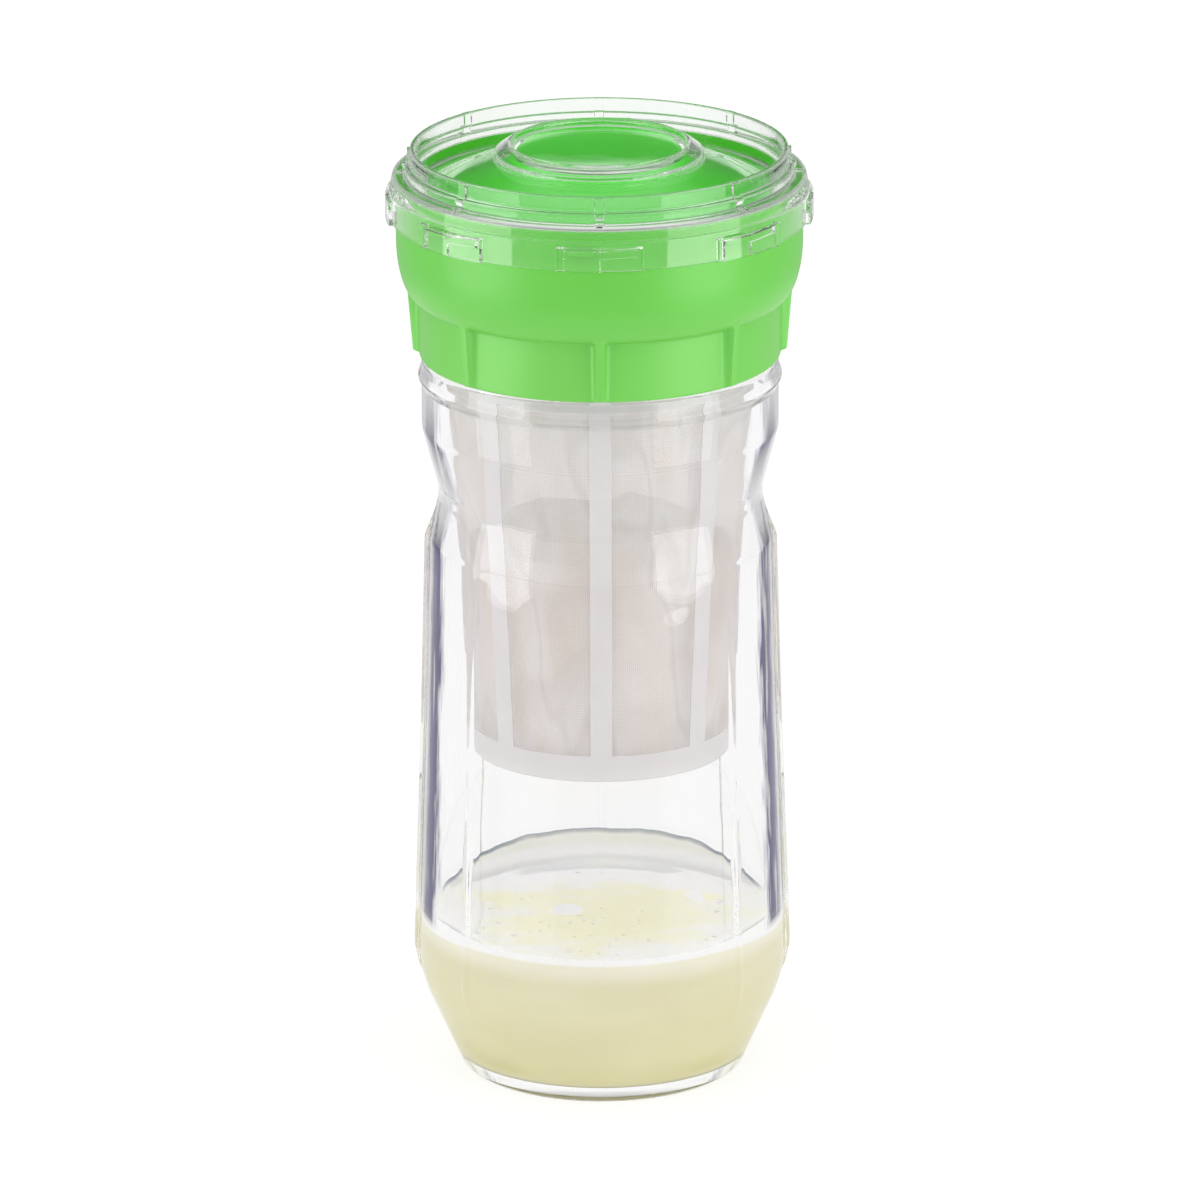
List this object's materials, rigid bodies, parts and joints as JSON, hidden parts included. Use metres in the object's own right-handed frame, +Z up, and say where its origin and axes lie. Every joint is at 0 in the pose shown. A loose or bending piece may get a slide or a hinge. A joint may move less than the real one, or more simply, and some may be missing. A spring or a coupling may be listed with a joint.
{
  "type": "kefir cheese maker",
  "caption": "Ribbed glass jar with a green screw ring, a mesh strainer basket hanging in it with curd over whey, a cone cover and a clear bayonet lid.",
  "frame": {"origin": "centre of the jar's standing ring, on the surface that the jar stands on", "axes": "+Z up along the jar's axis, which every piece shares; -Y towards the front, the side that the picture shows; +X to the right seen from the front"},
  "size_m": [0.1002, 0.1002, 0.2271],
  "materials": {
    "jar_glass": "clear, polished",
    "whey_liquid": "cloudy cream-yellow liquid",
    "gasket_silicone": "soft, matt",
    "collar_green": "satin gloss",
    "basket_milky": "milky, slightly see-through",
    "mesh_nylon": "fine woven mesh",
    "kefir_curd": "moist, lumpy fresh cheese",
    "cover_green": "satin gloss",
    "lid_clear": "clear, polished"
  },
  "bodies": {
    "jar": {"jar_body": "jar_glass", "whey": "whey_liquid"},
    "gasket": {"neck_gasket": "gasket_silicone"},
    "collar": {"screw_collar": "collar_green"},
    "basket": {"basket_frame": "basket_milky", "mesh_sleeve": "mesh_nylon", "mesh_floor": "mesh_nylon", "kefir_curd": "kefir_curd"},
    "cover": {"inner_cover": "cover_green"},
    "lid": {"clear_lid": "lid_clear"}
  },
  "joints": [
    {"name": "collar_rise", "type": "slide", "parent": "jar", "child": "gasket", "axis": [0, 0, 1], "range_m": [0, 0.0101]},
    {"name": "collar_turn", "type": "hinge", "parent": "gasket", "child": "collar", "pos_m": [0, 0, 0.182], "axis": [0, 0, 1], "range_deg": [0, 720]},
    {"name": "basket_lift", "type": "slide", "parent": "collar", "child": "basket", "axis": [0, 0, 1], "range_m": [0, 0.12]},
    {"name": "cover_lift", "type": "slide", "parent": "basket", "child": "cover", "axis": [0, 0, 1], "range_m": [0, 0.04]},
    {"name": "lid_turn", "type": "hinge", "parent": "cover", "child": "lid", "pos_m": [0, 0, 0.2132], "axis": [0, 0, -1], "range_deg": [0, 11]}
  ],
  "couplings": [
    {"joint": "collar_rise", "follows": "collar_turn", "m_per_rad": 0.00079577}
  ]
}
